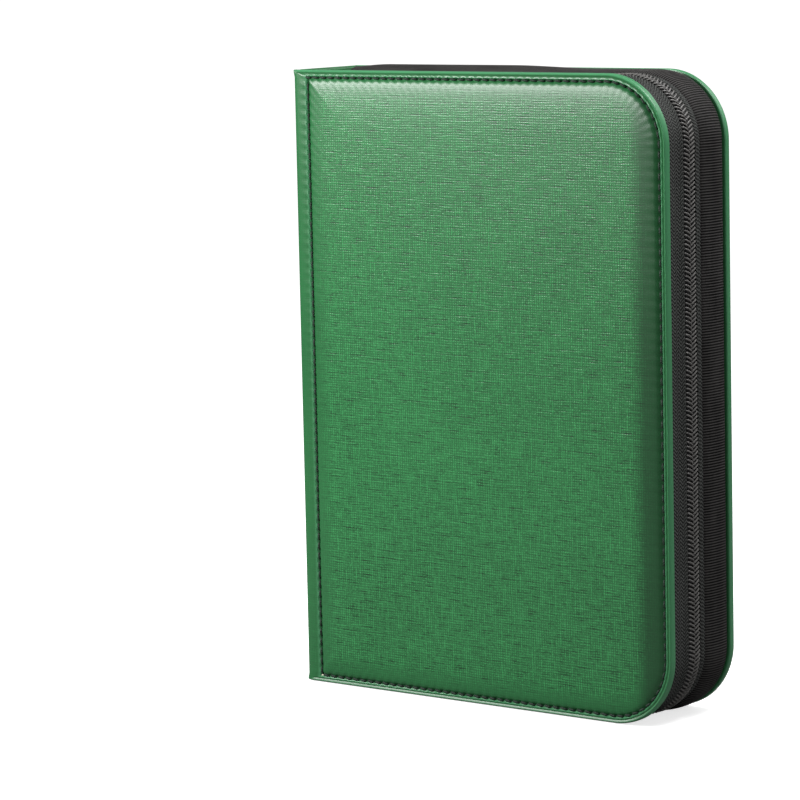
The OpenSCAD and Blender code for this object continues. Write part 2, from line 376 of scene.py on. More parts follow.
class Shader:
    """The nodes of one material."""

    def __init__(self, name):
        self.material = bpy.data.materials.new(name)
        self.material.use_nodes = True
        self.tree = self.material.node_tree
        self.tree.nodes.clear()

    def add(self, kind, settings, sockets, output=0):
        """Adds a node, sets it up, fills its sockets and gives one of its outputs."""
        node = self.tree.nodes.new("ShaderNode" + kind)
        for key, value in settings.items():
            if key == "stops":
                self.set_stops(node.color_ramp, value)
            else:
                setattr(node, key, value)
        for key, value in sockets.items():
            if isinstance(value, Signal):
                self.tree.links.new(value.output, node.inputs[key])
            else:
                node.inputs[key].default_value = value
        return Signal(self, node.outputs[output]) if node.outputs else None

    def set_stops(self, ramp, stops):
        while len(ramp.elements) < len(stops):
            ramp.elements.new(1.0)
        for element, (place, colour) in zip(ramp.elements, stops):
            element.position = place
            element.color = colour

    def math(self, operation, *values):
        return self.add("Math", {"operation": operation}, dict(enumerate(values)))

    def clamp(self, value):
        return self.add("Clamp", {}, {"Value": value})

    def ridges(self, value, pitch):
        """Even ridges from 0 to 1, one for each pitch of the value."""
        return self.math("SINE", value * (2 * math.pi / pitch)) * 0.5 + 0.5

    def split(self, vector):
        return [self.add("SeparateXYZ", {}, {"Vector": vector}, axis) for axis in "XYZ"]

    def vector(self, x, y, z=0.0):
        return self.add("CombineXYZ", {}, {"X": x, "Y": y, "Z": z})

    def grain(self):
        """The way along, the way across and the third number that a new piece's vertices carry."""
        return self.split(self.add("Attribute", {"attribute_name": "grain"}, {}, "Vector"))

    def place_mm(self):
        """Where a point is, in millimetres."""
        where = self.add("TexCoord", {}, {}, "Object")
        scaled = self.add("VectorMath", {"operation": "SCALE"}, {"Vector": where, "Scale": 1 / MM})
        return self.split(scaled)

    def noise(self, vector, scale, detail=2.0, roughness=0.5):
        sockets = {"Vector": vector, "Scale": scale, "Detail": detail, "Roughness": roughness}
        return self.add("TexNoise", {}, sockets)

    def blend(self, factor, a, b):
        """Goes from colour a to colour b with the factor."""
        return self.add("Mix", {"data_type": "RGBA"}, {"Factor": factor, 6: a, 7: b}, 2)

    def bump(self, height, distance_mm, strength=1.0):
        sockets = {"Height": height, "Distance": distance_mm * MM, "Strength": strength}
        return self.add("Bump", {}, sockets)

    def finish(self, **sockets):
        """Ends the material with a Principled shader. Its sockets' names are given with underscores."""
        named = {key.replace("_", " "): value for key, value in sockets.items()}
        shader = self.add("BsdfPrincipled", {}, named)
        self.add("OutputMaterial", {}, {"Surface": shader})
        return self.material


def rgb(r, g, b):
    """A colour that is given as it looks on a screen, from 0 to 255."""

    def linear(c):
        return ((c / 255 + 0.055) / 1.055) ** 2.4 if c > 10 else c / 255 / 12.92

    return linear(r), linear(g), linear(b), 1.0


# ---- materials ----


SHADED_FORE_BAND = 98                               # past this x the leather is drawn darker and its embossing fainter, as painted shade


def cross_grain_leather():
    """Synthetic leather with a linen-like embossing, smoother beside its seams, with painted highlights and
    painted shade.
    """
    sh = Shader("cross_grain_leather")
    u, v, depth = sh.grain()
    drift = sh.noise(sh.vector(u * 0.05, v * 0.12), 1.0, 2.0)
    weft_wave = sh.ridges(v + drift * 1.6, 1.3) ** 1.3
    warp_wave = sh.ridges(u + sh.noise(sh.vector(u * 0.12, v * 0.05, 7.0), 1.0, 2.0) * 1.8, 1.4) ** 1.3
    weft_length = sh.clamp(sh.noise(sh.vector(u * 0.1, v * 0.7, 3.0), 1.0, 2.0) * 4.0 - 1.8)
    warp_length = sh.clamp(sh.noise(sh.vector(u * 0.6, v * 0.09, 5.0), 1.0, 2.0) * 4.0 - 1.8)
    groove_length = sh.clamp(sh.noise(sh.vector(u * 0.1, v * 0.5, 11.0), 1.0, 2.0) * 4.0 - 2.0)
    dots = sh.noise(sh.vector(u * 0.75, v * 0.8, 9.0), 1.0, 2.0, 0.7)
    crossings = weft_wave * warp_wave * sh.clamp(dots * 3.0 - 0.9)
    weft = weft_wave * weft_length
    warp = warp_wave * warp_length
    grooves = (1 - weft_wave) * groove_length
    pores = sh.noise(sh.vector(u, v), 2.6, 4.0, 0.65)
    # fore: the band inside the fore-edge seam. Its tone is darkened as painted shade and its embossing is
    # drawn fainter.
    fore = sh.clamp((u - SHADED_FORE_BAND) * 0.12) * sh.clamp((depth - EDGE_SEAM) * 0.5)
    clear = (sh.clamp((depth - 7.0) * 0.1) * 0.85 + 0.15) * (1 - fore * 0.7)
    weave = weft * 0.32 + warp * 0.36 + crossings * 0.6 - grooves * 0.38 + (dots - 0.5) * 0.6
    height = 0.35 + weave * clear + (pores - 0.5) * 0.2
    patches = sh.noise(sh.vector(u * 0.012, v * 0.012, 1.0), 1.0, 3.0)
    tone = sh.clamp(height * 1.05 + (patches - 0.5) * 0.2 - fore * 0.22)
    # Painted highlights: the rolled rim's crest and the ridge between the rim and the seam are drawn lighter.
    crest_highlight = sh.clamp(1.25 - depth * 0.8) * 0.42
    # Painted shade: the leather is drawn darker along the seam's groove.
    seam = sh.clamp(1 - sh.math("ABSOLUTE", depth - EDGE_SEAM) * 1.5) * 0.75
    ridge_highlight = sh.clamp(1 - sh.math("ABSOLUTE", depth - 2.9) * 1.6) * 0.4
    body = sh.blend(tone, rgb(4, 48, 20), rgb(58, 148, 84))
    # The pale green of the painted highlights on the rim and the ridge.
    body = sh.blend(sh.math("MAXIMUM", crest_highlight, ridge_highlight), body, rgb(104, 184, 134))
    # The seam's groove is drawn in a dark green, as painted shade.
    colour = sh.blend(seam, body, rgb(6, 38, 19))
    rough = 0.35 - height * 0.06 + pores * 0.06
    return sh.finish(Base_Color=colour, Roughness=rough, Normal=sh.bump(height, 0.1, 0.8),
                     Specular_IOR_Level=0.5)


def thread(name, dark, light):
    """Twisted thread, for pieces whose grain runs along it and round it."""
    sh = Shader(name)
    along, around, number = sh.grain()
    twist = sh.ridges(along + around * 0.5, 0.9)
    fluff = sh.noise(sh.vector(along, around, number), 3.0, 3.0)
    height = twist * 0.8 + fluff * 0.4
    colour = sh.blend(sh.clamp(height), dark, light)
    return sh.finish(Base_Color=colour, Roughness=0.6 + fluff * 0.2, Normal=sh.bump(height, 0.12, 0.8))


def herringbone_tape():
    """Woven zip tape: slanted cords that turn over at each band of the weave."""
    sh = Shader("herringbone_tape")
    along, across, _ = sh.grain()
    side = sh.math("PINGPONG", across, 2.6)
    twill = sh.ridges(along + side * 0.9, 1.9)
    bands = sh.ridges(across, 1.7)
    fluff = sh.noise(sh.vector(along, across), 1.6, 4.0, 0.7)
    height = twill * 0.75 + bands * 0.2 + fluff * 0.35
    worn = sh.noise(sh.vector(along * 0.03, across * 0.1), 1.0, 2.0)
    colour = sh.blend(sh.clamp(height * 1.1 - 0.25 + (worn - 0.5) * 0.3), rgb(8, 9, 8), rgb(86, 88, 86))
    return sh.finish(Base_Color=colour, Roughness=0.72 + fluff * 0.15, Normal=sh.bump(height, 0.3, 0.9),
                     Specular_IOR_Level=0.2)


def ribbed_grosgrain():
    """The gusset's cloth: the ribs are in its shape, and fine threads run along each rib."""
    sh = Shader("ribbed_grosgrain")
    along, across, _ = sh.grain()
    ribs = sh.ridges(along + RIB_PITCH / 4, RIB_PITCH) ** 2.4
    threads = sh.ridges(across + sh.noise(sh.vector(along, across), 0.8, 2.0) * 0.5, 0.55)
    fluff = sh.noise(sh.vector(along * 2.0, across, 2.0), 1.6, 4.0, 0.7)
    worn = sh.noise(sh.vector(along * 0.03, across * 0.12, 3.0), 1.0, 3.0)
    tone = sh.clamp(ribs * 0.8 + fluff * 0.3 - 0.1 + (worn - 0.5) * 0.5)
    colour = sh.blend(tone, rgb(2, 2, 2), rgb(84, 82, 81))
    height = threads * 0.3 + fluff * 0.5
    return sh.finish(Base_Color=colour, Roughness=0.68 + fluff * 0.18, Normal=sh.bump(height, 0.12, 0.7),
                     Specular_IOR_Level=0.15)


def nylon_coil():
    """Dark nylon monofilament, rubbed a little on its crowns."""
    sh = Shader("nylon_coil")
    along, around, number = sh.grain()
    smear = sh.noise(sh.vector(along, around, number), 1.3, 3.0)
    colour = sh.blend(smear, rgb(30, 30, 30), rgb(140, 138, 135))
    return sh.finish(Base_Color=colour, Roughness=0.3 + smear * 0.22, Normal=sh.bump(smear, 0.05, 0.5),
                     Specular_IOR_Level=0.6)


def woven_lining():
    """Fine charcoal lining, plain woven."""
    sh = Shader("woven_lining")
    x, y, z = sh.place_mm()
    across = x + y
    weave = sh.ridges(across, 0.7) * 0.5 + sh.ridges(z, 0.7) * 0.5
    fluff = sh.noise(sh.vector(across * 0.6, z * 0.6, y), 1.0, 4.0, 0.6)
    worn = sh.noise(sh.vector(across * 0.02, z * 0.02), 1.0, 3.0)
    colour = sh.blend(sh.clamp(weave * 0.5 + worn * 0.5), rgb(38, 38, 40), rgb(72, 72, 76))
    return sh.finish(Base_Color=colour, Roughness=0.75 + fluff * 0.15,
                     Normal=sh.bump(weave + fluff * 0.5, 0.1, 0.6), Sheen_Weight=0.2)


def binding_ribbon():
    """Black ribbon, folded over a seam."""
    sh = Shader("binding_ribbon")
    along, across, _ = sh.grain()
    weave = sh.ridges(along, 0.6) * 0.5 + sh.ridges(across, 0.45) * 0.3
    fluff = sh.noise(sh.vector(along, across), 1.5, 3.0)
    colour = sh.blend(sh.clamp(weave * 0.6 + fluff * 0.4), rgb(18, 18, 19), rgb(50, 50, 52))
    return sh.finish(Base_Color=colour, Roughness=0.7 + fluff * 0.15, Normal=sh.bump(weave, 0.1, 0.7),
                     Sheen_Weight=0.2)


def padded_cloth():
    """The cloth round the binding strip."""
    sh = Shader("padded_cloth")
    along, across, _ = sh.grain()
    weave = sh.ridges(along, 0.8) * 0.5 + sh.ridges(across, 0.8) * 0.5
    fluff = sh.noise(sh.vector(along, across), 0.9, 4.0, 0.7)
    colour = sh.blend(sh.clamp(weave * 0.4 + fluff * 0.6), rgb(30, 30, 32), rgb(66, 66, 69))
    return sh.finish(Base_Color=colour, Roughness=0.75 + fluff * 0.15,
                     Normal=sh.bump(weave * 0.6 + fluff, 0.14, 0.7), Sheen_Weight=0.25)


def grey_board():
    """Pressed grey board with flecks."""
    sh = Shader("grey_board")
    x, y, z = sh.place_mm()
    flecks = sh.noise(sh.vector(x, z, y), 0.9, 5.0, 0.7)
    layers = sh.noise(sh.vector(x * 0.05, y * 6.0, z * 0.05), 1.0, 2.0)
    colour = sh.blend(sh.clamp(flecks * 0.7 + layers * 0.3), rgb(116, 104, 84), rgb(172, 158, 132))
    return sh.finish(Base_Color=colour, Roughness=0.85 + flecks * 0.1, Normal=sh.bump(flecks, 0.15, 0.6))


def open_foam():
    """Soft open-celled padding."""
    sh = Shader("open_foam")
    x, y, z = sh.place_mm()
    place = sh.vector(x, y, z)
    cells = sh.add("TexVoronoi", {}, {"Vector": place, "Scale": 1.4})
    dust = sh.noise(place, 0.3, 3.0)
    colour = sh.blend(sh.clamp(cells * 0.8 + dust * 0.3), rgb(205, 196, 170), rgb(240, 234, 214))
    return sh.finish(Base_Color=colour, Roughness=0.9 - cells * 0.1, Normal=sh.bump(cells, 0.25, 0.7))


def satin_zinc():
    """Plated zinc casting with a soft polish."""
    sh = Shader("satin_zinc")
    x, y, z = sh.place_mm()
    place = sh.vector(x, y, z)
    orange_peel = sh.noise(place, 1.8, 3.0)
    smear = sh.noise(place, 0.25, 3.0)
    colour = sh.blend(smear, rgb(176, 176, 178), rgb(206, 206, 208))
    return sh.finish(Base_Color=colour, Metallic=1.0, Roughness=0.24 + smear * 0.16,
                     Normal=sh.bump(orange_peel, 0.04, 0.35))


def moulded_rubber():
    """Matte moulded rubber of the pull."""
    sh = Shader("moulded_rubber")
    x, y, z = sh.place_mm()
    place = sh.vector(x, y, z)
    sparks = sh.noise(place, 4.0, 3.0, 0.6)
    smear = sh.noise(place, 0.2, 2.0)
    colour = sh.blend(sh.clamp(sparks * 0.4 + smear * 0.6), rgb(44, 44, 47), rgb(74, 74, 78))
    return sh.finish(Base_Color=colour, Roughness=0.55 + sparks * 0.15, Normal=sh.bump(sparks, 0.05, 0.6))


def black_sheet():
    """The black middle sheet of a leaf and its welds, lightly pebbled."""
    sh = Shader("black_sheet")
    x, y, z = sh.place_mm()
    place = sh.vector(x, y, z)
    pebbles = sh.noise(place, 1.6, 3.0, 0.6)
    smear = sh.noise(place, 0.05, 2.0)
    colour = sh.blend(sh.clamp(pebbles * 0.5 + smear * 0.5), rgb(16, 16, 18), rgb(38, 38, 41))
    return sh.finish(Base_Color=colour, Roughness=0.42 + pebbles * 0.2, Normal=sh.bump(pebbles, 0.05, 0.6))


def pocket_film():
    """Clear film over the cards, with faint ripples."""
    sh = Shader("pocket_film")
    x, y, z = sh.place_mm()
    ripples = sh.noise(sh.vector(x * 0.05, y, z * 0.05), 1.0, 3.0)
    scuffs = sh.noise(sh.vector(x * 0.4, y, z * 0.1), 1.0, 4.0)
    return sh.finish(Base_Color=(0.9, 0.92, 0.95, 1.0), Alpha=0.1 + scuffs * 0.07,
                     Roughness=0.06 + scuffs * 0.1, Normal=sh.bump(ripples, 0.6, 0.5), Specular_IOR_Level=0.6)


def card_face():
    """A printed card of no particular game: a tinted frame, a picture of soft shapes and plain bars."""
    sh = Shader("card_face")
    u, v, seed = sh.split(sh.add("Attribute", {"attribute_name": "card"}, {}, "Vector"))

    def window(left, right, low, high):
        across = sh.math("GREATER_THAN", u, left) * sh.math("LESS_THAN", u, right)
        return across * sh.math("GREATER_THAN", v, low) * sh.math("LESS_THAN", v, high)

    tints = [(0.0, rgb(196, 60, 44)), (0.2, rgb(52, 104, 176)), (0.4, rgb(70, 140, 78)),
             (0.6, rgb(206, 170, 80)), (0.8, rgb(120, 84, 150)), (1.0, rgb(150, 152, 156))]
    tint = sh.add("ValToRGB", {"stops": tints}, {"Fac": sh.math("FRACT", seed * 0.37)})
    shapes = sh.noise(sh.vector(u * 2.2, v * 3.1, seed * 3.7), 1.3, 4.0)
    paints = [(0.25, rgb(24, 34, 58)), (0.45, rgb(60, 110, 140)), (0.6, rgb(214, 168, 96)),
              (0.8, rgb(244, 236, 214))]
    picture = sh.add("ValToRGB", {"stops": paints}, {"Fac": shapes})
    picture = sh.blend(0.35, picture, tint)
    bars = sh.math("GREATER_THAN", sh.ridges(v, 0.045), 0.62) * window(0.14, 0.84, 0.12, 0.36)
    colour = sh.blend(window(0.045, 0.955, 0.033, 0.967), rgb(20, 20, 22), tint)
    colour = sh.blend(window(0.09, 0.91, 0.88, 0.945), colour, rgb(232, 228, 216))
    colour = sh.blend(window(0.09, 0.91, 0.44, 0.86), colour, picture)
    colour = sh.blend(window(0.09, 0.91, 0.07, 0.41), colour, rgb(226, 222, 208))
    colour = sh.blend(bars * 0.6, colour, rgb(90, 88, 84))
    return sh.finish(Base_Color=colour, Roughness=0.32 + shapes * 0.12, Specular_IOR_Level=0.5)


LEATHER = cross_grain_leather()
# The seam thread is dark green, drawn darker still as painted shade of the needle holes it lies in.
GREEN_THREAD = thread("green_thread", rgb(2, 18, 9), rgb(12, 46, 25))
BLACK_THREAD = thread("black_thread", rgb(10, 10, 11), rgb(44, 44, 46))
TAPE = herringbone_tape()
GROSGRAIN = ribbed_grosgrain()
NYLON = nylon_coil()
LINING = woven_lining()
RIBBON = binding_ribbon()
PAD_CLOTH = padded_cloth()
BOARD = grey_board()
FOAM = open_foam()
ZINC = satin_zinc()
RUBBER = moulded_rubber()
SHEET = black_sheet()
FILM = pocket_film()
CARD = card_face()


# ---- covers ----

# The skin's section as (depth, sink under the outer face), from its hem over the rim and the seam to the
# middle of the face. The first list is for the three free sides, the second for the one round the spine.
EDGE_ROWS = [(12, 6), (7, 6), (1.4, 6), (0.4, 5.8), (0, 5.3), (0, 4.0), (0.12, 2.7), (0.45, 1.95),
             (0.9, 1.65), (1.4, 1.78), (1.9, 2.15), (2.4, 1.85), (3.0, 1.62), (3.5, 1.95), (4.0, 2.5),
             (4.4, 2.3), (4.9, 1.8), (5.8, 1.35), (7.3, 1.05), (9.4, 0.8), (12.5, 0.55), (17, 0.32),
             (22, 0.15), (28, 0.04), (34, 0)]
SPINE_ROWS = [(0.4, 8.0), (0.1, 7.8), (0, 7.4), (0, 6.7), (0, 6.0), (0, 5.3), (0.2, 4.4), (0.6, 3.6),
              (1.2, 2.95), (2.1, 2.45), (3.6, 2.05), (6.4, 1.75), (9.6, 1.45), (10.4, 1.95), (11.0, 2.5),
              (11.4, 2.3), (11.9, 1.8), (12.8, 1.35), (14.3, 1.05), (16.4, 0.8), (19.5, 0.55), (24, 0.32),
              (29, 0.15), (35, 0.04), (41, 0)]
SEAM_ROW = [depth for depth, _ in EDGE_ROWS].index(EDGE_SEAM)
FIRST_FOAM_ROW = 9                           # the padding starts under this row
PUCKER_SWELL = 0.11                          # how far the skin rises and falls beside the seam


def surface_lengths(rows):
    """How far each row is from the last one, along the surface."""
    lengths = [0.0]
    for a, b in zip(reversed(rows), reversed(rows[:-1])):
        lengths.append(lengths[-1] + math.dist(a, b))
    return lengths[::-1]


EDGE_FLAT = [EDGE_ROWS[-1][0] - d for d in surface_lengths(EDGE_ROWS)]
SPINE_FLAT = [SPINE_ROWS[-1][0] - d for d in surface_lengths(SPINE_ROWS)]


def outline_path(columns):
    return [outline_station(OUTLINE * i / columns) for i in range(columns)]


STITCHES = round(OUTLINE / STITCH_PITCH)
FOAM_COLUMNS = 320


def pucker(row, along):
    """How much deeper the skin is at the needle holes, and how far it swells between them."""
    phase = 2 * math.pi * along * STITCHES / OUTLINE
    if SEAM_ROW - 2 <= row <= SEAM_ROW + 2:
        reach = (0.3, 0.5, 0.45, 0.5, 0.4)[row - SEAM_ROW + 2]
        return reach * (0.5 - 0.5 * math.cos(phase))
    if row > SEAM_ROW:
        away = EDGE_ROWS[row][0] - EDGE_SEAM
        return -PUCKER_SWELL * math.cos(phase) * math.exp(-away / 3.2)
    return 0.0


STRIP_NEAR = 1.8                             # the grain's third number on the strip beside the spine
PLAIN_NEAR = 30.0                            # and on leather with no seam near it


def skin_place(side):
    def place(st, row):
        left, left_sink = SPINE_ROWS[row]
        edge, edge_sink = EDGE_ROWS[row]
        sink = mix(edge_sink, left_sink, st.spine) + pucker(row, st.along)
        x = st.x + st.left_x * left + st.edge_x * edge
        z = st.z + st.edge_z * edge
        u = st.x + st.left_x * SPINE_FLAT[row] + st.edge_x * EDGE_FLAT[row]
        v = st.z + st.edge_z * EDGE_FLAT[row]
        near = mix(edge, max(left - HINGE_SEAM + EDGE_SEAM, STRIP_NEAR), st.spine)
        return Vector((x, side * (OUTER_Y - sink), z)), Vector((u, v, near))
    return place


def cover_skin(name, side):
    """A cover's leather from hem to hem. It runs on over the crease and ends on the spine's face."""
    path = outline_path(STITCHES * COLUMNS_PER_STITCH)
    bm, inner = sweep(path, list(range(len(EDGE_ROWS))), skin_place(side), ring=True)
    bmesh.ops.holes_fill(bm, edges=inner, sides=0)
    face_towards(bm, Vector((0, side, 0)))
    obj = piece(f"{name}_cover_skin", to_mesh(bm, name), LEATHER,
                replaces=[f"{name}_cover_leather"])
    thicken(obj, SKIN_T)
    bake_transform(obj)


def foam_pad(name, side):
    """The padding under a cover's skin, crowned as the skin is and pressed flat under the seam."""
    back_y = -box_mm("front_cover_foam")[1].y
    rows = list(range(FIRST_FOAM_ROW, len(EDGE_ROWS)))
    skin = skin_place(side)

    def place(st, row):
        if row is None:
            spot, grain = skin(st, rows[0])
            spot.y = side * back_y
            return spot, grain
        spot, grain = skin(st, row)
        spot.y = side * max(side * spot.y - SKIN_T - 0.05, back_y + 0.04)
        return spot, grain

    bm, _ = sweep(outline_path(FOAM_COLUMNS), [None] + rows, place, ring=True)
    close_ends(bm)
    face_out(bm)
    pad = piece(f"{name}_foam_pad", to_mesh(bm, name), FOAM, f"{name}_cover",
                replaces=[f"{name}_cover_foam"])


def seam_stitches(name, side):
    """Single stitches that lie in the seam's groove, each leaning across it."""
    length = 3.7
    lie = [(-0.5, -0.45), (-0.36, 0.0), (-0.15, 0.2), (0.15, 0.2), (0.36, 0.0), (0.5, -0.45)]
    unit = tube([Vector((t * length, h, 0)) for t, h in lie], 0.74, sides=8, up=Vector((0, 0, 1)), taper=0.6)
    seam_y = OUTER_Y - EDGE_ROWS[SEAM_ROW][1]
    places = []
    for i in range(STITCHES):
        here = outline_station(OUTLINE * i / STITCHES)
        ahead = outline_station((OUTLINE * (i + 0.1) / STITCHES) % OUTLINE)
        spots = [Vector((st.x + st.left_x * HINGE_SEAM + st.edge_x * EDGE_SEAM, side * seam_y,
                         st.z + st.edge_z * EDGE_SEAM)) for st in (here, ahead)]
        tangent = (spots[1] - spots[0]).normalized()
        out = Vector((0, side, 0))
        across = tangent.cross(out)
        lean = math.radians(16 * abs(tangent.x) - 4)
        along = tangent * math.cos(lean) + across * math.sin(lean)
        places.append(axes(spots[0] + out * 0.2, along, out, along.cross(out)))
    piece(f"{name}_seam_stitches", repeat(unit, places, name), GREEN_THREAD,
          f"{name}_cover", replaces=[f"{name}_cover_stitching"])


for cover, facing in (("front", -1), ("back", 1)):
    cover_skin(cover, facing)
    foam_pad(cover, facing)
    seam_stitches(cover, facing)


# ---- spine ----

_, spine_high = box_mm("spine_board")
SPINE_IN_X = spine_high.x + SKIN_T
SPINE_HALF = INNER_Y - 2.1


def spine_skin():
    """The spine's leather, turned in over the board at both ends."""
    rows = []
    hem = 8
    for top in (False, True):
        end = HEIGHT if top else 0
        inward = -1 if top else 1
        turn = [(SPINE_IN_X, hem), (SPINE_IN_X, 1.2), (SPINE_IN_X - 0.4, 0.4), (SPINE_IN_X - 1.2, 0),
                (-HALF_W + 1.2, 0), (-HALF_W + 0.35, 0.35), (-HALF_W, 1.2), (-HALF_W, 3)]
        turned = [(x, end + inward * d) for x, d in turn]
        rows += turned[::-1] if top else turned
    middle = [(-HALF_W, z) for z in range(12, int(HEIGHT) - 8, 8)]
    rows = rows[:8] + middle + rows[8:]
    flat = [0.0]
    for a, b in zip(rows, rows[1:]):
        flat.append(flat[-1] + math.dist(a, b))

    def place(y, row):
        x, z = rows[row]
        outer = x < -HALF_W + 0.2
        rim = smooth((abs(y) - SPINE_HALF + 1.2) / 1.2)
        return Vector((x + 0.45 * rim * outer, y, z)), Vector((y, flat[row], PLAIN_NEAR))

    count = 24
    ys = [-SPINE_HALF + 2 * SPINE_HALF * i / count for i in range(count + 1)]
    rims = [SPINE_HALF - 0.7, SPINE_HALF - 0.35]
    path = sorted(ys + rims + [-y for y in rims])
    bm, _ = sweep(path, list(range(len(rows))), place)
    face_towards(bm, Vector((-1, 0, 0)))
    obj = piece("spine_skin", to_mesh(bm, "spine_skin"), LEATHER, "spine",
                replaces=["spine_leather"])
    thicken(obj, SKIN_T)


spine_skin()


def web(name, first, second, bow, steps, material):
    """A strip of cloth between two lines of points, bowed between a cover and the spine."""
    wide = [math.dist(a, b) for a, b in zip(first, second)]

    def place(i, t):
        spot = first[i].lerp(second[i], t) + bow * math.sin(math.pi * t)
        return spot, Vector((spot.z, wide[i] * t, 0))

    bm, _ = sweep(list(range(len(first))), [k / steps for k in range(steps + 1)], place)
    face_out(bm)
    obj = piece(name, to_mesh(bm, name), material)
    thicken(obj, 0.5)
    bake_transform(obj)


LINING_GAP = 22                              # from the binder's ends to the hinge linings' ends
LINING_EDGE_X = -104                         # they lap over the covers' own linings as far as this


def hinge_lining(name, side):
    """The lining between a cover and the spine. It hugs the corner."""
    low, high = LINING_GAP, HEIGHT - LINING_GAP
    zs = [low + (high - low) * i / 40 for i in range(41)]
    corner_x = SPINE_IN_X + 0.5
    cover_y, spine_y = INNER_Y - 0.3, INNER_Y - 3.1
    line = [(mix(LINING_EDGE_X, corner_x, k / 6), cover_y) for k in range(7)]
    line += [(corner_x, mix(cover_y, spine_y, k / 4)) for k in range(1, 5)]
    far = [0.0]
    for a, b in zip(line, line[1:]):
        far.append(far[-1] + math.dist(a, b))

    def place(z, k):
        return Vector((line[k][0], side * line[k][1], z)), Vector((z, far[k], 0))

    bm, _ = sweep(zs, list(range(len(line))), place)
    face_out(bm)
    obj = piece(f"{name}_hinge_lining", to_mesh(bm, name), LINING)
    thicken(obj, 0.4)
    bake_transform(obj)


def end_pleat(name, y_out, y_in, top):
    """The cloth at an end of the zip, that joins the gusset to the spine."""
    depth = ZIP_IN + ZIP_DIP
    z = HEIGHT - depth if top else depth
    down = -1 if top else 1
    count = 12
    cover_line = [Vector((RUN_END_X + 0.3, mix(y_out, y_in, i / count), z)) for i in range(count + 1)]
    spine_line = [Vector((SPINE_IN_X + 0.6, mix(y_out * 0.93, y_in, i / count), z)) for i in range(count + 1)]
    where = "upper" if top else "lower"
    web(f"{name}_{where}_pleat", cover_line, spine_line, Vector((0, 0, down * 1.2)), 10, GROSGRAIN)


for cover, facing in (("front", -1), ("back", 1)):
    hinge_lining(cover, facing)
for is_top in (True, False):
    end_pleat("front", 0.9 - INNER_Y, coil_low.y - 0.4, is_top)
    end_pleat("back", INNER_Y - 0.9, back_coil_high.y + 1.7, is_top)


# ---- gusset and zip ----


def flat_lengths(profile):
    lengths = [0.0]
    for a, b in zip(profile, profile[1:]):
        lengths.append(lengths[-1] + math.dist(a[:2], b[:2]))
    return lengths


def band(name, profile, step, material, body, replaces=(), ribs=0.0, sharp=38, start=0.0):
    """A band round the opening, from start millimetres on. Its profile holds (depth, y, sink, swell)
    and comes back to its start.
    The grain is the way along the band and the way across it."""
    across = flat_lengths(profile)

    def place(st, k):
        depth, y, sink, swell = profile[k]
        if ribs and swell > 0:
            rise = 0.5 + 0.5 * math.cos(2 * math.pi * st.along / RIB_PITCH)
            depth -= ribs * rise * min(1.0, swell * 2)
        return at_depth(st, depth, y, sink, swell), Vector((st.along, across[k], y))

    bm, _ = sweep(zip_path(step, start), list(range(len(profile))), place, loop=True)
    close_ends(bm)
    face_out(bm)
    piece(name, to_mesh(bm, name, sharp), material, body, replaces)


def tape(name, wall_y, coil_y, body):
    """A zip tape, with a thick woven cord beside the coil."""
    way = 1 if coil_y > wall_y else -1
    outer, inner = ZIP_IN - TAPE_T / 2, ZIP_IN + TAPE_T / 2
    ys = [wall_y + way * 0.4, wall_y + way * 3, wall_y + way * 6, coil_y - way * 2.3, coil_y - way * 2.0,
          coil_y - way * 1.5, coil_y - way * 0.9, coil_y - way * 0.5, coil_y]
    rise = [0, 0, 0, 0, 0.25, 0.4, 0.25, 0, 0]
    profile = [(inner, coil_y, 1, 0), (inner, wall_y, 1, 0), (outer, wall_y, 1, 0)]
    profile += [(outer - r, y, 1, 0) for y, r in zip(ys, rise)]
    band(name, profile, 2.0, TAPE, body, [name.replace("woven", "zip")], sharp=50)


tape("woven_tape_front", -INNER_Y, coil_low.y, "front_cover")
tape("woven_tape_back", back_tape_high.y, back_coil_high.y, "back_cover")


GUSSET_FOLD_Y = 14                           # where the gusset's inner face turns down towards the zip


def gusset():
    """The ribbed band between the zip and the back cover. It swells over the covers' upper edges."""
    end_y = INNER_Y - 0.1
    rows = [(2.5, -0.02, 1, 0), (1.9, 0, 1, 0.05), (1.3, 0.05, 0.9, 0.2), (0.8, 0.14, 0.65, 0.5),
            (0.4, 0.27, 0.4, 0.8), (0.2, 0.42, 0.2, 0.97), (0.15, 0.56, 0.08, 1.0), (0.3, 0.7, 0.04, 0.9),
            (0.6, 0.82, 0.02, 0.7), (1.1, 0.91, 0, 0.45), (1.7, 0.97, 0, 0.2), (2.4, 1, 0, 0)]
    outer = [(depth, mix(GUSSET_Y, end_y, across), sink, swell) for depth, across, sink, swell in rows]
    inner = [(4.0, end_y, 0.1, 0), (4.0, GUSSET_FOLD_Y, 0.4, 0), (4.0, GUSSET_Y - 0.4, 1, 0)]
    band("ribbed_gusset", inner[2:] + outer + inner[:2], RIB_PITCH / 4, GROSGRAIN,
         "back_cover", ["gusset_band", "gusset_piping"], ribs=0.42, sharp=70)


gusset()


def ribbon(name, side, depth):
    """The ribbon folded over the seam inside the gusset."""
    low, high = depth, depth + 3.1
    y0, y1 = INNER_Y - 0.1, INNER_Y - 2.7
    sink = 1.0 if side < 0 else 0.1
    corners = [(low, y0), (high - 0.8, y0), (high - 0.2, y0 - 0.4), (high, (y0 + y1) / 2),
               (high - 0.2, y1 + 0.4), (high - 0.8, y1), (low + 0.3, y1 + 0.2), (low, y1 + 0.5)]
    profile = [(d, side * y, sink, 0) for d, y in corners]
    band(name, profile, 3.0, RIBBON, "front_cover" if side < 0 else "back_cover",
         [name.replace("ribbon", "binding")], sharp=60)


ribbon("front_seam_ribbon", -1, ZIP_IN + TAPE_T / 2 + 0.05)
ribbon("back_seam_ribbon", 1, 4.1)


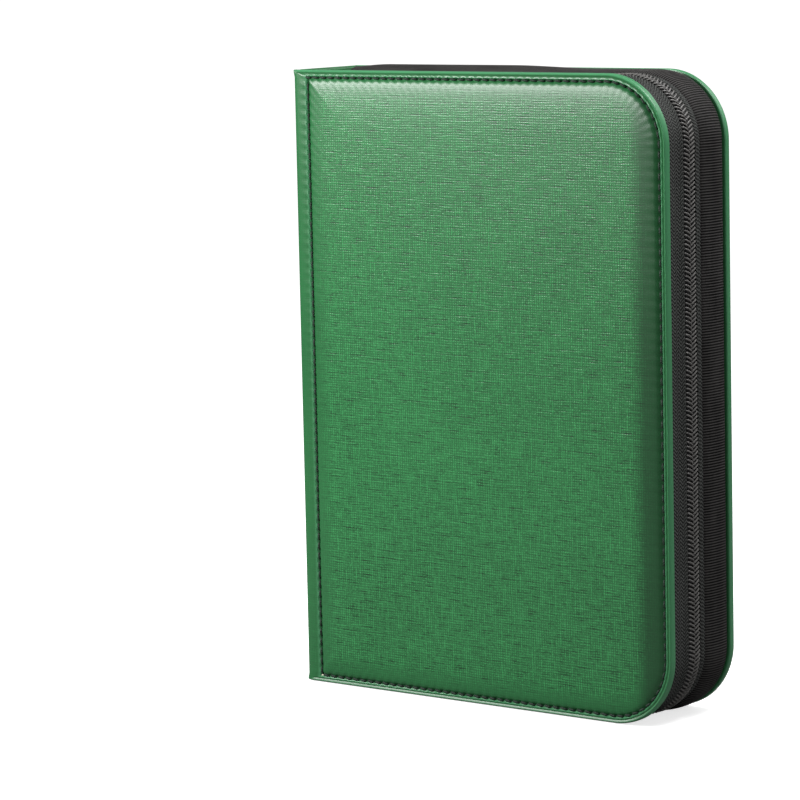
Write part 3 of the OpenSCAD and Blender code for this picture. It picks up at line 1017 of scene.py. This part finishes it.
def tooth_places(first, side, short):
    """Where one row's teeth stand. Short teeth leave the slider its way, and the others mesh."""
    slide = next(j for j in frame["joints"] if j["name"] == "zip_slide")
    _, slider_high = box_mm("slider_body")
    free_x = slider_high.x + slide["range_m"][1] / MM + 2
    start = coil_low.x - RUN_END_X + 0.6
    count = int((ZIP_LENGTH - start - 1.5) / TOOTH_PITCH)
    places = []
    for i in range(count):
        st = zip_station(start + (i + first) * TOOTH_PITCH)
        swept = st.along < ZIP_RUN and st.x < free_x
        if swept != short:
            continue
        spot = at_depth(st, ZIP_IN, CHAIN_Y)
        ahead = at_depth(zip_station(st.along + 0.2), ZIP_IN, CHAIN_Y)
        tangent = (ahead - spot).normalized()
        across = Vector((0, side, 0))
        out = tangent.cross(Vector((0, 1, 0)))
        places.append(axes(spot, tangent, across, out))
    return places


def coil(name, side, first, body):
    """One half of the zip's coil: a loop of monofilament for each tooth, round a core cord."""
    root = abs(coil_low.y - CHAIN_Y) - 0.55
    wire = 0.47
    meshes = []
    for short in (True, False):
        head = 1.35 if short else -0.25
        lie = [(-1.15, root, -0.15), (-1.05, root - 0.25, 0.6), (-0.75, root - 1.0, 1.08),
               (0.0, mix(root, head, 0.55), 1.14), (0.75, head + 0.75, 1.0), (1.05, head + 0.05, 0.5),
               (1.1, head, -0.25), (0.95, head + 0.6, -0.85)]
        centres = [Vector((t, y, w)) for t, y, w in lie]
        unit = tube(centres, wire, sides=6, up=Vector((1, 0.2, 0)), taper=0.85)
        meshes.append(repeat(unit, tooth_places(first, side, short), f"{name}_{short}"))
    bm = bmesh.new()
    for mesh in meshes:
        bm.from_mesh(mesh)
    bmesh.ops.recalc_face_normals(bm, faces=bm.faces[:])
    bmesh.ops.scale(bm, vec=(1 / MM, 1 / MM, 1 / MM), verts=bm.verts[:])
    piece(f"{name}_teeth", to_mesh(bm, name, 60), NYLON, body, [f"zip_coil_{name}"])
    core_y = CHAIN_Y + side * (root - 1.7)
    profile = [(ZIP_IN + 0.45 * math.cos(a), core_y + side * 1.2 * math.sin(a), 1, 0)
               for a in [2 * math.pi * k / 8 for k in range(8)]]
    start = coil_low.x - RUN_END_X + 0.4
    band(f"{name}_coil_core", profile, 3.0, BLACK_THREAD, body, sharp=60, start=start)


coil("front", -1, 0.0, "front_cover")
coil("back", 1, 0.5, "back_cover")


# ---- binding strip ----


def mound():
    """The padded strip on the spine. It is drawn in between the rows of stitches and rounded at its ends."""
    low, high = mound_low, mound_high
    half = high.y - 0.2
    rise = high.x - low.x
    sides = 26

    def place(y, z):
        t = (z - low.z) / (high.z - low.z)
        end = math.sqrt(max(0.0, 1 - (2 * t - 1) ** 24))
        crown = 1 - (y / half) ** 2
        crown = max(crown, 0.0) ** 0.8
        wave = 0.18 * math.sin(2 * math.pi * z / 5.0) * math.exp(-(abs(y) - 4) ** 2 / 6)
        dent = 0.5 * math.exp(-(y / 3.2) ** 2)
        x = low.x + 0.05 + (rise - 0.35) * crown * (0.25 + 0.75 * end) + wave * end - dent
        return Vector((max(x, low.x + 0.05), y, z)), Vector((z, y, 0))

    count = 118
    path = [-half + 2 * half * i / sides for i in range(sides + 1)]
    zs = [mix(low.z + 0.1, high.z - 0.1, k / count) for k in range(count + 1)]
    bm, _ = sweep(path, zs, place)
    rim = [e for e in bm.edges if e.is_boundary]
    back = bmesh.ops.extrude_edge_only(bm, edges=rim)["geom"]
    for v in back:
        if isinstance(v, bmesh.types.BMVert):
            v.co.x = low.x
    close_ends(bm)
    face_out(bm)
    obj = piece("padded_mound", to_mesh(bm, "padded_mound", 60), PAD_CLOTH, "spine",
                replaces=["binding_strip"])


def zigzag():
    """The thick thread that runs to and fro along the mound."""
    low, high = box_mm("binding_thread")
    pitch = 5.0
    count = int((high.z - low.z - 3) / pitch * 2)
    top = mound_high.x - 0.42
    centres = []
    for i in range(count + 1):
        y = 2.7 * (1 if i % 2 else -1)
        z = low.z + 1.5 + i * pitch / 2
        centres.append(Vector((top, y * 0.86, z - 0.3)))
        centres.append(Vector((top - 0.1, y, z)))
        centres.append(Vector((top, y * 0.86, z + 0.3)))
    bm = tube(centres, 0.42, sides=7, up=Vector((1, 0, 0)))
    piece("zigzag_thread", to_mesh(bm, "zigzag_thread", 60), BLACK_THREAD, "spine",
          replaces=["binding_thread"])


mound()
zigzag()


# ---- slider ----


def softened(name, node, material, body, radius, segments=3):
    """A CAD node's shape again, with its edges rounded."""
    bm = bmesh.new()
    bm.from_mesh(frame["nodes"][node].data)
    bmesh.ops.remove_doubles(bm, verts=bm.verts[:], dist=1e-6)
    bmesh.ops.dissolve_limit(bm, angle_limit=math.radians(1), verts=bm.verts[:], edges=bm.edges[:])
    corners = [e for e in bm.edges if e.is_manifold and e.calc_face_angle(0) > math.radians(30)]
    bmesh.ops.bevel(bm, geom=corners, offset=radius * MM, segments=segments, profile=0.5, affect="EDGES",
                    material=-1, clamp_overlap=True)
    mesh = bpy.data.meshes.new(name)
    bm.to_mesh(mesh)
    bm.free()
    mesh.shade_smooth()
    mesh.set_sharp_from_angle(angle=math.radians(35))
    return piece(name, mesh, material, body, [node])


softened("cast_slider", "slider_body", ZINC, "zip_slider", 0.3)
softened("cast_bridge", "slider_bridge", ZINC, "zip_slider", 0.22)
softened("bar_pull", "pull_tab", RUBBER, "zip_pull", 0.75, 4)


# ---- leaves ----

CARD_W = 63
CARD_H = 88
POCKET_W = 66.4
POCKET_H = 91
COLUMN_PITCH = 68.4
ROW_PITCH = 93
FIRST_COLUMN = 10.2
FIRST_ROW = 2.6


def pocket_centres(leaf_x, leaf_z):
    for column in range(3):
        for row in range(3):
            yield Vector((leaf_x + FIRST_COLUMN + POCKET_W / 2 + column * COLUMN_PITCH, 0,
                          leaf_z + FIRST_ROW + POCKET_H / 2 + row * ROW_PITCH))


def leaf_sheet(name, low, high, y):
    """The black sheet, with a raised weld round each pocket."""
    half_sheet = 0.16
    weld_w = 1.5
    weld_half = 0.44

    def bar(x0, x1, z0, z1):
        box = rounded_box(Vector((x0, y - weld_half, z0)), Vector((x1, y + weld_half, z1)), 0.3, 2)
        add_drawing(bm, box)

    bm = rounded_box(Vector((low.x, y - half_sheet, low.z)), Vector((high.x, y + half_sheet, high.z)),
                     0.12, 1)
    for column in range(4):
        x = low.x + FIRST_COLUMN - 1 + column * COLUMN_PITCH
        bar(x - weld_w / 2, x + weld_w / 2, low.z + 0.6, high.z - 0.6)
    for row in range(4):
        z = low.z + FIRST_ROW - 1 + row * (high.z - low.z - 3.2) / 3
        bar(low.x + FIRST_COLUMN - 1, high.x - 0.6, z - weld_w / 2, z + weld_w / 2)
    piece(f"{name}_sheet", to_mesh(bm, name), SHEET, name, [name])


def add_drawing(bm, other):
    """Adds another drawing to this one."""
    mesh = bpy.data.meshes.new("part")
    other.to_mesh(mesh)
    other.free()
    bm.from_mesh(mesh)
    bpy.data.meshes.remove(mesh)


def card_drawing():
    """A card with round corners, flat in X and Z. Its card numbers run from 0 to 1 over the face."""
    bm = bmesh.new()
    numbers = bm.verts.layers.float_vector.new("card")
    bm.verts.layers.float_vector.new("grain")
    bmesh.ops.create_grid(bm, x_segments=1, y_segments=1, size=0.5)
    bmesh.ops.scale(bm, vec=(CARD_W, CARD_H, 1), verts=bm.verts[:])
    bmesh.ops.bevel(bm, geom=bm.verts[:], offset=3, segments=3, profile=0.5, affect="VERTICES", material=-1)
    made = bmesh.ops.extrude_face_region(bm, geom=bm.faces[:])["geom"]
    bmesh.ops.translate(bm, vec=(0, 0, 0.22), verts=[v for v in made if isinstance(v, bmesh.types.BMVert)])
    face_out(bm)
    for v in bm.verts:
        v[numbers] = Vector((v.co.x / CARD_W + 0.5, v.co.y / CARD_H + 0.5, 0))
    return bm


def film_drawing():
    """A pocket's film: a sheet that is welded at its rim and stands over the card."""
    bm = bmesh.new()
    bm.verts.layers.float_vector.new("grain")
    bmesh.ops.create_grid(bm, x_segments=6, y_segments=6, size=0.5)
    for v in bm.verts:
        flat = (1 - (2 * v.co.x) ** 6) * (1 - (2 * v.co.y) ** 6)
        v.co = Vector((v.co.x * POCKET_W, v.co.y * POCKET_H, 0.3 * flat ** 0.5))
    bmesh.ops.solidify(bm, geom=bm.faces[:], thickness=0.05)
    face_out(bm)
    return bm


def leaf_cards(name, low, y, shuffle):
    """Two cards back to back in each pocket, and the film over each."""
    cards = bmesh.new()
    films = bmesh.new()
    card = card_drawing()
    film = film_drawing()
    templates = []
    for drawing, label in ((card, "card"), (film, "film")):
        mesh = bpy.data.meshes.new(label)
        drawing.to_mesh(mesh)
        drawing.free()
        templates.append(mesh)
    for centre in pocket_centres(low.x, low.z):
        for face in (-1, 1):
            origin = Vector((centre.x, y + face * 0.17, centre.z))
            upright = axes(origin, Vector((-face, 0, 0)), Vector((0, 0, 1)), Vector((0, face, 0)))
            for bm, template, lift in ((cards, templates[0], 0.0), (films, templates[1], 0.06)):
                copy = template.copy()
                copy.transform(upright @ Matrix.Translation((0, 0, lift)))
                if bm is cards:
                    seed = shuffle.random() * 40
                    for item in copy.attributes["card"].data:
                        item.vector[2] = seed
                bm.from_mesh(copy)
                bpy.data.meshes.remove(copy)
    for template in templates:
        bpy.data.meshes.remove(template)
    piece(f"{name}_cards", to_mesh(cards, name), CARD, name)
    piece(f"{name}_pockets", to_mesh(films, name, 60), FILM, name)


shuffle = random.Random(9)
for leaf in sorted(n for n in frame["nodes"] if n.startswith("leaf_")):
    leaf_low, leaf_high = box_mm(leaf)
    leaf_y = (leaf_low.y + leaf_high.y) / 2
    leaf_sheet(leaf, leaf_low, leaf_high, leaf_y)
    leaf_cards(leaf, leaf_low, leaf_y, shuffle)


# ---- finishes of the frame's own pieces ----

NODE_FINISHES = {
    "front_cover_board": BOARD, "back_cover_board": BOARD, "spine_board": BOARD,
    "front_cover_lining": LINING, "back_cover_lining": LINING, "spine_lining": LINING,
    "zip_end_tab_top": LINING, "zip_end_tab_bottom": LINING,
    "zip_tail_top": RIBBON, "zip_tail_bottom": RIBBON,
    "zip_bottom_stop": ZINC, "pull_link": ZINC,
}
for node, material in NODE_FINISHES.items():
    for slot in frame["nodes"][node].material_slots:
        slot.material = material


# ---- camera, floor and light ----

AZIMUTH = math.radians(36.51)
ELEVATION = math.radians(7.27)
ROLL = math.radians(-1.22)
DISTANCE = 1.955
LENS = 167.06
AIM_LEFT = 0.0581
AIM_DOWN = 0.0066

centre = (cad_box[0] + cad_box[1]) / 2
outward = Vector((math.sin(AZIMUTH) * math.cos(ELEVATION), -math.cos(AZIMUTH) * math.cos(ELEVATION),
                  math.sin(ELEVATION)))
right = Vector((math.cos(AZIMUTH), math.sin(AZIMUTH), 0))
up = outward.cross(right)
eye = centre + outward * DISTANCE
aim = centre - right * AIM_LEFT - up * AIM_DOWN

camera = bpy.data.objects.new("camera", bpy.data.cameras.new("camera"))
camera.data.lens = LENS
camera.data.sensor_width = 36
camera.data.clip_end = 50
camera.location = eye
facing_aim = (aim - eye).to_track_quat("-Z", "Y")
camera.rotation_euler = (facing_aim @ Matrix.Rotation(ROLL, 3, "Z").to_quaternion()).to_euler()
bpy.context.scene.collection.objects.link(camera)
bpy.context.scene.camera = camera


FLOOR_NEAR = 260                             # the floor glows least this near, and more further off
NEAR_GLOW = 0.74
GLOW_PER_MM = 0.0012
UNSEEN_FLOOR = 0.22                          # the floor's grey for light that doesn't reach the camera


def floor():
    bm = bmesh.new()
    bmesh.ops.create_grid(bm, x_segments=1, y_segments=1, size=6)
    mesh = bpy.data.meshes.new("floor")
    bm.to_mesh(mesh)
    bm.free()
    sh = Shader("pale_floor")
    x, y, _ = sh.place_mm()
    cloud = sh.noise(sh.vector(x, y), 0.002, 2.0)
    pale = sh.blend(cloud, (0.86, 0.86, 0.86, 1), (0.9, 0.9, 0.9, 1))
    seen = sh.add("LightPath", {}, {}, "Is Camera Ray")
    colour = sh.blend(seen, (UNSEEN_FLOOR, UNSEEN_FLOOR, UNSEEN_FLOOR, 1), pale)
    away = sh.math("SQRT", x * x + y * y)
    far = sh.clamp((away - FLOOR_NEAR) * GLOW_PER_MM)
    near = sh.blend(seen, (0, 0, 0, 1), (NEAR_GLOW, NEAR_GLOW, NEAR_GLOW, 1))
    glow = sh.blend(far * seen, near, (1, 1, 1, 1))
    mesh.materials.append(sh.finish(Base_Color=colour, Roughness=0.8, Emission_Color=glow,
                                    Emission_Strength=1.0))
    obj = bpy.data.objects.new("floor", mesh)
    obj.location.z = -0.0003
    bpy.context.scene.collection.objects.link(obj)


floor()


def soft_light(name, place, target, size, power):
    light = bpy.data.lights.new(name, "AREA")
    light.shape = "RECTANGLE"
    light.size, light.size_y = size
    light.energy = power
    obj = bpy.data.objects.new(name, light)
    obj.location = place
    obj.rotation_euler = (Vector(target) - Vector(place)).to_track_quat("-Z", "Y").to_euler()
    bpy.context.scene.collection.objects.link(obj)


soft_light("key", (-0.5, -0.64, 0.54), (-0.05, 0, 0.3), (0.75, 0.24), 11.5)
soft_light("fill", (1.4, -0.6, 0.9), (0.1, 0, 0.15), (0.8, 0.8), 2)
soft_light("top", (0.4, 0.1, 0.95), (0.1, 0, 0.3), (0.4, 0.4), 6)
soft_light("rear", (0.6, 1.4, 1.2), (0, 0, 0.15), (1.2, 0.9), 6)

world = bpy.data.worlds.new("studio")
world.use_nodes = True
sky = world.node_tree
ambient = sky.nodes["Background"]
ambient.inputs["Color"].default_value = (1, 1, 1, 1)
ambient.inputs["Strength"].default_value = 0.14
behind = sky.nodes.new("ShaderNodeBackground")
behind.inputs["Color"].default_value = (1, 1, 1, 1)
behind.inputs["Strength"].default_value = 1.1
ray = sky.nodes.new("ShaderNodeLightPath")
either = sky.nodes.new("ShaderNodeMixShader")
sky.links.new(ray.outputs["Is Camera Ray"], either.inputs[0])
sky.links.new(ambient.outputs[0], either.inputs[1])
sky.links.new(behind.outputs[0], either.inputs[2])
sky.links.new(either.outputs[0], sky.nodes["World Output"].inputs["Surface"])
bpy.context.scene.world = world
bpy.context.scene.view_settings.view_transform = "Standard"
